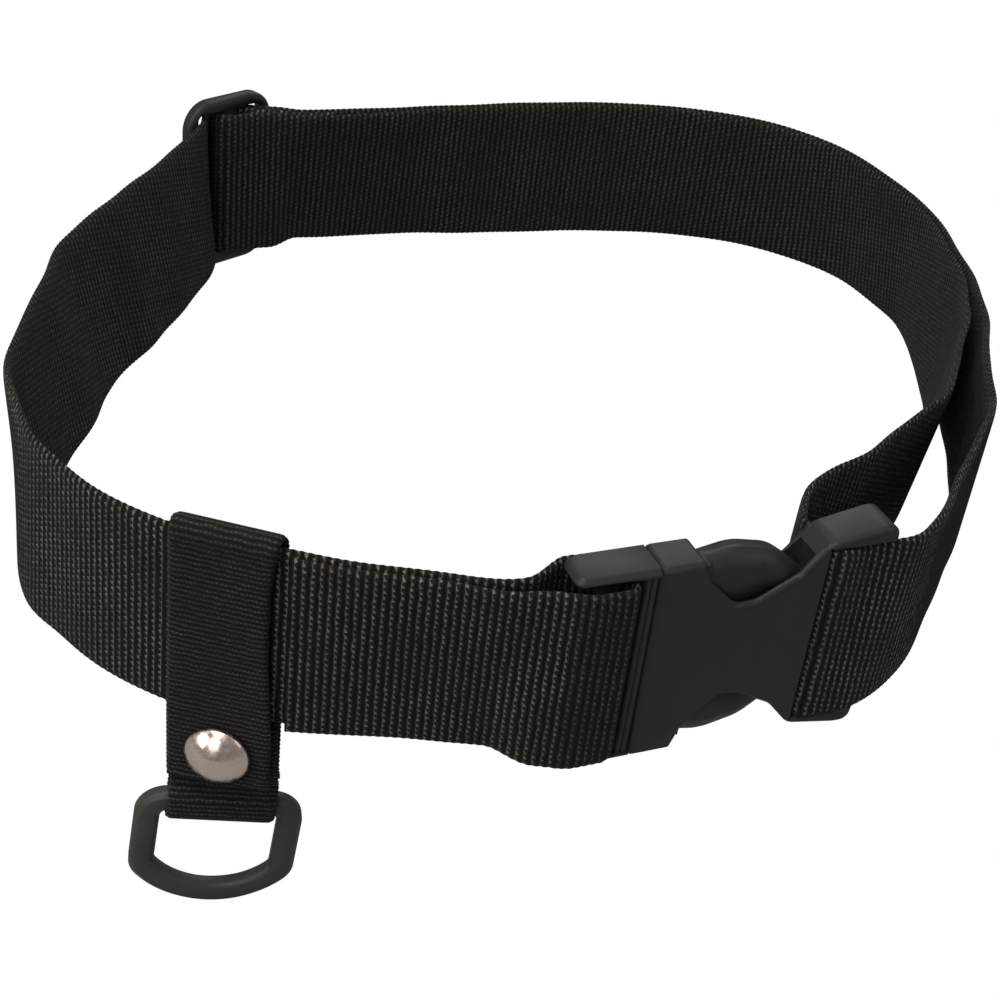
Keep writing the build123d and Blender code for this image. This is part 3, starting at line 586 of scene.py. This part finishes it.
@dataclass(frozen=True)
class Studio:
    """Camera in front of the belt and above it, a white floor under it, and soft lamps."""
    eye: tuple = (-2.0, -451.0, 241.5)
    pitch: float = 33.1642
    roll: float = 7.15507
    lens: float = 61.977
    sensor: float = 36.0
    floor_size: float = 12000.0
    floor_gap: float = 0.3

    def camera(self) -> None:
        """Place the camera, looking down by the pitch and rolled about its line of sight."""
        p, r = math.radians(self.pitch), math.radians(self.roll)
        right = (math.cos(r), math.sin(r) * math.sin(p), math.sin(r) * math.cos(p))
        up = (-math.sin(r), math.cos(r) * math.sin(p), math.cos(r) * math.cos(p))
        back = (0.0, -math.cos(p), math.sin(p))
        camera = new_object("camera", bpy.data.cameras.new("camera"))
        camera.data.lens = self.lens
        camera.data.sensor_width = self.sensor
        camera.data.clip_start = 0.01
        camera.data.clip_end = 50.0
        camera.matrix_world = Matrix(
            [[right[k], up[k], back[k], self.eye[k] * MM] for k in range(3)] + [[0, 0, 0, 1]])
        bpy.context.scene.camera = camera

    def floor(self) -> None:
        """Lay a floor just under the ring: grey paper to the belt, but pure white to the camera."""
        half = self.floor_size / 2 * MM
        level = CAD_BOX[0][2] - self.floor_gap * MM
        corners = [(x * half, y * half, level) for x, y in ((-1, -1), (1, -1), (1, 1), (-1, 1))]
        mesh = bpy.data.meshes.new("floor")
        mesh.from_pydata(corners, [], [(0, 1, 2, 3)])
        material = bpy.data.materials.new("paper_floor_white")
        add = emptied(material)
        paper = add("BsdfDiffuse", {"Color": linear("a0a0a0")})
        white = add("Emission", {"Color": linear(WHITE), "Strength": 1.0})
        show_white(add, "OutputMaterial", paper, white)
        mesh.materials.append(material)
        floor = new_object("floor", mesh)

    def sky(self) -> None:
        """Surround the belt with a faint, even light that the camera sees as pure white."""
        world = bpy.data.worlds.new("studio")
        bpy.context.scene.world = world
        add = emptied(world)
        ambient = add("Background", {"Color": linear("f7f8fa"), "Strength": 0.2})
        white = add("Background", {"Color": linear(WHITE), "Strength": 1.0})
        show_white(add, "OutputWorld", ambient, white)

    def lamps(self) -> None:
        """Hang five broad square lamps round the belt, each of them facing its middle."""
        for name, place, size, watts in LAMPS:
            lamp = bpy.data.lights.new(name, "AREA")
            lamp.size = size * MM
            lamp.energy = watts
            away = unit(np.array(place))
            side = unit(np.cross((0.0, 0.0, 1.0), away))
            turned = np.stack([side, np.cross(away, side), away, np.array(place) * MM], axis=1)
            new_object(name, lamp).matrix_world = Matrix(turned.tolist() + [[0, 0, 0, 1]])

    def build(self) -> None:
        """Set up the camera, the floor, the light and the plain view of colours."""
        self.camera()
        self.floor()
        self.sky()
        self.lamps()
        bpy.context.scene.view_settings.view_transform = "Standard"


# --- Main webbing ---

# angle round the waist in degrees, then the outward shifts of the top and bottom edges there
BELT_LEAN = (
    # buckle and right front
    (-70, 0, 0), (-57, 0.8, 0.1), (-50, 1.8, 0.2), (-38, -0.4, 0.1),
    # right side
    (-20, 0, -0.4), (-5, -0.9, 1), (5, 0.7, 1), (15, 1.2, 2), (20, 1.2, 2.5), (30, 1.3, 5), (40, 0.9, 9.8),
    # back
    (50, -0.2, 8.6), (60, -0.3, 4.8), (70, 0, 3), (80, 0, 1.6), (95, -0.2, 1.8), (105, -1, 3.5),
    (115, -2, 5.5), (130, -3, 6),
    # length adjuster
    (137, -1.5, 4), (141, 0.2, -3),
    # left side
    (148, 0.4, -7.6), (155, 0.8, -8), (163, 2, -8.1), (170, 4, -8), (176, 5.4, -6.2), (182, 6.5, -4.6),
    (188, 7.4, -5.6), (192, 6.5, -6.6), (200, 3.2, -6), (206, 1.2, -6.6), (212, -2, -7.4),
    # left front
    (217, -4.8, -6.6), (221, -5.2, -3.2), (227, -1, 1.8), (230, -1, 0.6), (236, -1, 0.1), (243, -1, 0.1),
    # front, from the hanger to the buckle
    (248, -1, 0), (253, -0.6, -0.9), (256, 0.2, -2), (259, 0.6, -3.1), (263, 0.9, -3.7), (267, 1, -4),
    (270, 1.8, -5), (273, 2, -4.6), (277, 0.5, -2.5), (282, 0, -0.5), (290, 0, 0),
)
# distance along a layer, then the shifts that it adds by itself: the outer layer's top tips
# inwards beside the buckle, and the inner layer opens away from the outer one on the right
OUTER_LEAN = ((0, 0, 0), (6, -2.5, 0), (12, -3.6, 0), (18, -3.6, 0), (27, 0, 0), (545, 0, 0))
INNER_LEAN = ((0, 0, 0), (360, 0, 0), (391, 0.3, -2.0), (415, 1.4, -3.4), (436, 2.4, -4.0),
              (457, 2.6, -3.7), (480, 1.0, -3.0), (495, 1.2, -3.0), (510, 0.9, -2.8),
              (524, -1.8, -2.2), (536, -1.5, -1), (551, 0, 0))


@dataclass
class BeltWebbing:
    """The 50 mm webbing: its outer layer, its inner layer, and the left side with the front.

    Attributes:
        outer_held, inner_held, front_held: (from, to) distances where a strap keeps to its
            route exactly; it is let go over hold_ramp.
        soften, smoothing: spread of the average over a route, and points of that over its lean.
        wave, degree_mm: height of the slight waviness, and rough length of a degree.
        sealed, cut_end: extra thickness of the two melted ends, as a share, and its reach.
    """
    width: float = 50.0
    thickness: float = 2.3
    relief: float = 0.28
    step: float = BELT_RIB / 4
    columns: int = 34
    outer: Route = Route(
        ((73.43, -118.4), (76.01, -123.76), (99.4, -112.2), (127.8, -38.1), (134.0, 26.4),
         (127.8, 82.5), (99.6, 157.5), (22.8, 152.0), (-97.62, 103.92), (-110.59, 103.71),
         (-116.37, 96.81), (-114.33, 84.0), (-115.44, 76.08)),
        (3.0, 45, 60, 152, 65, 63, 87, 4, 5, 5, 4))
    inner: Route = Route(
        ((-74.81, 110.23), (-97.1, 101.33), (-109.36, 101.13), (-114.03, 95.56), (-109.05, 91.39),
         (-96.58, 98.74), (-70.57, 109.12), (-43.23, 122.83), (23.39, 149.44), (97.85, 154.77),
         (125.25, 81.89), (129.9, 40.0), (127.9, 18.2), (115.9, -31.0), (87.9, -76.7),
         (72.8, -87.1), (69.31, -109.84), (73.43, -118.4)),
        (5, 4, 3.15, 2.75, 12, 60, 60, 84.4, 60.4, 62.4, 90, 50, 65, 15, 22, 6))
    front: Route = Route(
        ((-115.44, 76.08), (-125.1, 6.9), (-129.1, -60.7), (-131.4, -97.3), (-84.9, -146.6),
         (-47.7, -149.9), (3.5, -149.8), (13.2, -138.9), (24.87, -134.17), (31.16, -147.24),
         (21.02, -152.12), (4.0, -152.6), (-44.5, -152.6)),
        (151, 200, 37, 76, 149, 12, 6, 3.0, 3.0, 9, 16))
    outer_held: tuple = ((0, 5), (502, 529))
    inner_held: tuple = ((23, 64.5), (538, 551))
    front_held: tuple = ((340, 384),)
    hold_ramp: float = 12.0
    soften: float = 7.0
    smoothing: int = 41
    wave: float = 0.3
    degree_mm: float = 2.0
    seed: int = 3
    sealed: tuple = (0.25, 0.9)
    cut_end: tuple = (0.5, 0.8)

    def shifts(self, angle: np.ndarray, distance: np.ndarray, own: tuple) -> list:
        """Outward shifts of the top and bottom edges at angles and distances, smoothed."""
        kernel = np.hanning(self.smoothing) / np.hanning(self.smoothing).sum()
        reach = self.smoothing // 2
        angles, distances = drawn_on(angle, reach), drawn_on(distance, reach)
        shared, added = np.transpose(BELT_LEAN), np.transpose(own)
        rows = np.stack([np.interp(angles, shared[0], shared[k]) + np.interp(distances, added[0], added[k])
                         for k in (1, 2)])
        return [np.convolve(row, kernel, "valid") for row in rows]

    def ribbon(self, route: Route, outwards: float, held: tuple,
               own: tuple = ((0, 0, 0), (1, 0, 0)), **settings) -> Ribbon:
        """Stand a strap on its plan route, leaning as it does in use.

        The across direction is straight up plus (top - bottom) / width outwards, and the
        middle moves outwards by their mean. Both come from the belt's table by atan2(y, x), so
        that layers which lie together lean alike, plus what the strap adds by itself.

        Args:
            route: plan line of the strap's middle.
            outwards: 1 if the right of the line is the outside, -1 if the left is.
            held: (from, to) distances where the strap keeps to its route exactly.
            own: rows of distance and the two shifts that the strap adds by itself.
            **settings: further fields of the ribbon.
        """
        line, distance = route.soft_line(self.step, self.soften, held)
        normal = sideways(line) * outwards
        # angles run on from the table's first one
        first = BELT_LEAN[0][0]
        angle = (np.degrees(np.arctan2(line[:, 1], line[:, 0])) - first) % 360 + first
        upper, lower = self.shifts(angle, distance, own)
        free = np.clip(1 - sum(within(distance, *place, self.hold_ramp) for place in held), 0, 1)
        wave = self.wave * ripple(angle * self.degree_mm, self.seed)
        shift = ((upper + lower) / 2 + wave) * free
        tilt = (upper - lower) / self.width * free
        level = np.zeros((len(line), 1))
        flat = np.concatenate([normal, level], axis=1)
        away = flat * np.sign((normal * line).sum(axis=1, keepdims=True))
        middle = np.concatenate([line, level], axis=1) + away * shift[:, None]
        across = unit(away * tilt[:, None] + np.array([0.0, 0.0, 1.0]))
        return Ribbon(middle, across, flat, distance, self.width, self.thickness, BELT_RIB,
                      self.relief, self.columns, **settings)

    def build(self) -> tuple[Ribbon, Ribbon]:
        """Make the three straps, and return the front and the inner one, which are sewn."""
        outer = self.ribbon(self.outer, 1.0, self.outer_held, OUTER_LEAN)
        inner = self.ribbon(self.inner, -1.0, self.inner_held, INNER_LEAN, sealed=((0, *self.sealed),))
        cut = self.front.line(self.step)[1][-1]
        front = self.ribbon(self.front, 1.0, self.front_held, start_at=outer.distance[-1],
                            sealed=((cut, *self.cut_end),))
        for name, ribbon, nodes, body in (
                ("strap_outer_layer", outer, ("webbing_outer_layer",), "socket_side"),
                ("strap_inner_layer", inner, ("webbing_inner_layer",), "socket_side"),
                ("strap_left_and_front", front, ("webbing_left_side", "webbing_front_run"), None)):
            piece = ribbon.make(name)
            Finish.WEBBING.dress(piece)
            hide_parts(*nodes)
            if body:
                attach(piece, body)
            else:
                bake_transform(piece)
            LOG.info("%s: %.0f mm long, %d faces", name, ribbon.distance[-1], len(piece.data.polygons))
        return front, inner


# --- Stitching ---

@dataclass(frozen=True)
class Stitching:
    """Rows of lock stitches on a strap's outer face.

    Each stitch is a thread whose height over the face is radius * (rise sin(pi t) - sunk):
    it comes out of the webbing, lies on it and goes back in.

    Attributes:
        blunt, tip: power of the taper at both ends, and the square of what is left there.
        box_near, box_far, box_half: the box's sides from the cut end, and half its height.
        seam_places, seam_half: the seams' distances, and half their length.
    """
    pitch: float = 3.1
    gap: float = 0.7
    radius: float = 0.36
    rings: int = 7
    sides: int = 6
    rise: float = 1.3
    sunk: float = 0.6
    blunt: int = 8
    tip: float = 0.15
    box_near: float = 2.5
    box_far: float = 39.0
    box_half: float = 21.0
    seam_places: tuple = (56.0, 59.5)
    seam_half: float = 22.0

    def ends(self, rows: list) -> tuple[np.ndarray, np.ndarray]:
        """Starts and ends of the stitches in rows, all of them as (n, 2) places on the strap."""
        starts, ends = [], []
        for first, last in np.array(rows, float):
            way = unit(last - first)
            count = max(1, int(round(np.linalg.norm(last - first) / self.pitch)))
            share = np.arange(count)[:, None] / count
            starts.append(first + (last - first) * share + way * self.gap / 2)
            ends.append(first + (last - first) * (share + 1 / count) - way * self.gap / 2)
        return np.concatenate(starts), np.concatenate(ends)

    def threads(self, ribbon: Ribbon, start: np.ndarray, end: np.ndarray) -> np.ndarray:
        """Points round every stitch, in rings that are square to the thread."""
        t = np.linspace(0, 1, self.rings)
        flat = start[:, None, :] + (end - start)[:, None, :] * t[None, :, None]
        s, v = flat[..., 0], flat[..., 1]
        face = ribbon.thickness / 2 - ribbon.relief * 0.5
        height = face + self.radius * (self.rise * np.sin(np.pi * t) - self.sunk)
        centre = ribbon.place(s, v, np.broadcast_to(height, s.shape))
        along = unit(np.gradient(centre, axis=1))
        over = ribbon.place(s, v, np.broadcast_to(height + 1.0, s.shape)) - centre
        beside = unit(np.cross(along, over))
        normal = np.cross(beside, along)
        turn = np.arange(self.sides) * 2 * np.pi / self.sides
        taper = np.sqrt(np.clip(1 - (2 * t - 1) ** self.blunt, self.tip, 1))[None, :, None, None]
        circle = (beside[:, :, None, :] * np.cos(turn)[None, None, :, None]
                  + normal[:, :, None, :] * np.sin(turn)[None, None, :, None])
        return centre[:, :, None, :] + circle * self.radius * taper

    def make(self, name: str, ribbon: Ribbon, rows: list) -> Object:
        """Sew rows between places on a strap.

        Args:
            name: the object's name.
            ribbon: the strap that is sewn.
            rows: ((s, v), (s, v)) ends of each row, in millimetres along and across.
        """
        start, end = self.ends(rows)
        points = self.threads(ribbon, start, end)
        stitches, tube = len(start), self.rings * self.sides
        base, ring, side = np.meshgrid(np.arange(stitches) * tube, np.arange(self.rings - 1) * self.sides,
                                       np.arange(self.sides), indexing="ij")
        after = (side + 1) % self.sides
        start_ring, end_ring = base + ring, base + ring + self.sides
        quads = np.stack([start_ring + side, start_ring + after, end_ring + after, end_ring + side], axis=-1)
        caps = np.arange(stitches)[:, None] * tube + np.arange(self.sides)
        far_caps = caps + tube - self.sides
        faces = quads.reshape(-1, 4).tolist() + caps[:, ::-1].tolist() + far_caps.tolist()
        length = np.linalg.norm(end - start, axis=1).mean()
        u = (ring / self.sides) / (self.rings - 1) * length
        tubes = face_uv((u, u + length / (self.rings - 1)), (side / self.sides, (side + 1) / self.sides))
        uv = np.concatenate([tubes, np.zeros((2 * stitches * self.sides, 2))])
        piece = write_mesh(name, points.reshape(-1, 3), faces, uv)
        Finish.THREAD.dress(piece)
        return piece

    def build(self, front: Ribbon, inner: Ribbon) -> None:
        """Sew the crossed box on the doubled front, and two seams beside the adjuster."""
        end, half = front.distance[-1], self.box_half
        left, right = end - self.box_near, end - self.box_far
        corners = (left, -half), (right, -half), (right, half), (left, half)
        box = [(corners[i], corners[j]) for i, j in ((0, 1), (1, 2), (2, 3), (3, 0), (0, 2), (1, 3))]
        sewn = self.make("box_stitching", front, box)
        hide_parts("box_stitch")
        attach(sewn, "plug_side")
        seam = [((s, -self.seam_half), (s, self.seam_half)) for s in self.seam_places]
        tail = self.make("adjuster_stitching", inner, seam)
        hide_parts("tail_stitch")
        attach(tail, "socket_side")


# --- Hanger ---

@dataclass
class Hanger:
    """Narrow strap folded over the belt and round the ring's bar, closed by a press stud.

    Its side view has two coordinates, out and up. Above the stud it leans back with the belt,
    and below it the strap twists and tilts until it is square to the ring.

    Attributes:
        place, turn: its plan place, and the belt's direction there in degrees.
        twist, tilt, shift: turns in degrees and the move along the belt, all at the ring.
        flap_line, back_line, tail_line: how far out the three runs of the strip hang.
        neck: how far the two lower runs draw apart halfway down the twist.
        curl: how far the flap's right edge curls in, by the distance along it from the back.
    """
    place: tuple = (-59.435, -148.786)
    turn: float = -7.569
    width: float = 26.0
    thickness: float = 1.4
    relief: float = 0.14
    step: float = HANGER_RIB / 4
    columns: int = 22
    edge_power: float = 20.0
    lean: float = -1.0
    lean_heights: tuple = (-27.0, 25.0)
    lean_power: float = 0.8
    twist: float = 20.0
    tilt: float = 6.0
    shift: float = -0.9
    twist_from: float = -39.8
    twist_to: float = -50.2
    twist_middle: float = -45.6
    fold_roll: float = 1.6
    roll_heights: tuple = (-20.0, 24.0)
    ring_out: float = -2.67
    ring_up: float = -54.0
    flap_line: float = 2.15
    back_line: float = -3.47
    tail_line: float = -1.87
    neck: float = 0.24
    fold_top: float = 27.03
    fold_radius: float = 2.66
    wrap: float = 4.24
    loop_top: float = -50.76
    joint_up: float = 20.0
    tail_up: float = -27.0
    flap_foot: float = -43.5
    curl: tuple = ((0, 8, 14, 20, 26, 38, 53, 66, 85), (0, 0.5, 1.2, 2.0, 2.5, 2.6, 1.4, 0.5, 0.9))
    curl_points: int = 21

    def ribbon(self, route: Route, curl: tuple = ((0, 1), (0, 0))) -> Ribbon:
        """Lay the strip along a route of the hanger's side view.

        With t rising from 0 to 1 down the twist, the side view's directions turn about the
        vertical by t * twist and about the outward direction by t * tilt, both at the ring.
        The fold dips to the right by fold_roll, and curl draws the right edge in.
        """
        line, distance = route.line(self.step)
        t = smooth_step(-line[:, 1], -self.twist_from, -self.twist_to)
        angle = np.radians(self.turn + self.twist * t)
        tilt = np.radians(self.tilt * t)
        flat = np.stack([np.cos(angle), np.sin(angle), 0 * t], axis=1)
        out = np.stack([np.sin(angle), -np.cos(angle), 0 * t], axis=1)
        rise = np.array([[0.0, 0.0, 1.0]])
        dip = tilt + math.radians(self.fold_roll) * smooth_step(line[:, 1], *self.roll_heights)
        along = flat * np.cos(dip)[:, None] - rise * np.sin(dip)[:, None]
        up = flat * np.sin(tilt)[:, None] + rise * np.cos(tilt)[:, None]
        back = math.radians(self.turn)
        ring = (np.array([*self.place, self.ring_up])
                + np.array([math.sin(back), -math.cos(back), 0.0]) * self.ring_out
                + np.array([math.cos(back), math.sin(back), 0.0]) * self.shift * t[:, None])
        leaning = self.lean * smooth_step(line[:, 1], *self.lean_heights) ** self.lean_power
        middle = (ring + out * (line[:, :1] - self.ring_out + leaning[:, None])
                  + up * (line[:, 1:] - self.ring_up))
        drawn_in = np.pad(np.interp(distance, *curl), self.curl_points // 2, mode="edge")
        inset = np.convolve(drawn_in, np.full(self.curl_points, 1 / self.curl_points), "valid")
        along *= 1 - inset[:, None] / self.width
        middle -= along * inset[:, None] / 2
        side = sideways(line)
        normal = side[:, :1] * out + side[:, 1:] * up
        return Ribbon(middle, along, normal, distance, self.width, self.thickness, HANGER_RIB,
                      self.relief, self.columns, edge_power=self.edge_power)

    def build(self) -> None:
        """Make the back strap with its ring loop, and the flap with its fold."""
        left, right = self.ring_out - self.wrap, self.ring_out + self.wrap
        foot = self.ring_up - self.wrap
        back = Route((
            (self.back_line, self.joint_up), (self.back_line, self.twist_from),
            (self.back_line - self.neck, self.twist_middle), (left, self.loop_top),
            (left, foot), (right, foot), (right, self.loop_top),
            (self.tail_line + self.neck, self.twist_middle), (self.tail_line, self.twist_from),
            (self.tail_line, self.tail_up)), (8, 3, 3, 4.2, 4.2, 3, 3, 8))
        flap = Route((
            (self.back_line, self.joint_up), (self.back_line, self.fold_top),
            (self.flap_line, self.fold_top), (self.flap_line, self.flap_foot)), (self.fold_radius,) * 2)
        strap = self.ribbon(back).make("hanger_back_and_loop")
        cover = self.ribbon(flap, self.curl).make("hanger_flap_and_fold")
        for piece in (strap, cover):
            Finish.HANGER.dress(piece)
        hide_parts("hanger_strap")
        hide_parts("hanger_flap")
        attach(strap, "hanger")
        # the fold bends from the back run's outer face to the flap's inner face
        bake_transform(cover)
        LOG.info("hanger made")


# --- Whole belt ---

@dataclass(frozen=True)
class HardPart:
    """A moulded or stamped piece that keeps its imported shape, with its edges just broken.

    Attributes:
        crown: how many times higher a cap stands on the hanger's face.
        sharp_from: angle in degrees from which an edge stays sharp.
        area_weight: how far wide faces outweigh narrow ones in the normals, from 1 to 100.
    """
    node: str
    body: str
    finish: Finish
    crown: float = 1.0
    sharp_from: float = 55.0
    area_weight: int = 90
    merge_within: float = 0.001

    def raise_crown(self, mesh: Mesh) -> None:
        """Stretch a mesh along the hanger's outward direction, from its innermost point."""
        points = np.zeros(len(mesh.vertices) * 3)
        mesh.vertices.foreach_get("co", points)
        points = points.reshape(-1, 3)
        angle = math.radians(Hanger.turn)
        outwards = np.array([math.sin(angle), -math.cos(angle), 0.0])
        height = points @ outwards
        points += outwards * (height - height.min())[:, None] * (self.crown - 1)
        mesh.vertices.foreach_set("co", points.ravel())

    def build(self) -> None:
        """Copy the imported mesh, merge it, and shade its chamfers as rounds.

        Normals weighted by area make a narrow chamfer turn smoothly from one wide face to the
        next, as a moulded round does.
        """
        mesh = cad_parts[self.node].data.copy()
        work = bmesh.new()
        work.from_mesh(mesh)
        bmesh.ops.remove_doubles(work, verts=work.verts, dist=self.merge_within * MM)
        work.to_mesh(mesh)
        work.free()
        if self.crown != 1.0:
            self.raise_crown(mesh)
        mesh.polygons.foreach_set("use_smooth", np.ones(len(mesh.polygons), bool))
        mesh.set_sharp_from_angle(angle=math.radians(self.sharp_from))
        piece = new_object(self.node + "_finished", mesh)
        normals = piece.modifiers.new("normals", "WEIGHTED_NORMAL")
        normals.weight = self.area_weight
        normals.keep_sharp = True
        self.finish.dress(piece)
        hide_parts(self.node)
        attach(piece, self.body)


HARD_PARTS = (
    HardPart("buckle_socket", "socket_side", Finish.BUCKLE),
    HardPart("buckle_plug", "plug_side", Finish.BUCKLE),
    HardPart("upper_prong", "upper_prong_body", Finish.BUCKLE),
    HardPart("lower_prong", "lower_prong_body", Finish.BUCKLE),
    HardPart("tri_glide", "socket_side", Finish.BUCKLE),
    HardPart("d_ring", "ring", Finish.RING),
    HardPart("snap_cap", "flap", Finish.SNAP, crown=1.35),
    HardPart("snap_socket", "flap", Finish.SNAP),
    HardPart("snap_stud", "hanger", Finish.SNAP),
    HardPart("snap_eyelet", "hanger", Finish.SNAP),
)


def main() -> None:
    """Build the studio and the belt, piece by piece."""
    logging.basicConfig(level=logging.INFO, format="%(name)s: %(message)s")
    Studio().build()
    front, inner = BeltWebbing().build()
    Hanger().build()
    for part in HARD_PARTS:
        part.build()
    Stitching().build(front, inner)


if __name__ == "__main__":
    main()
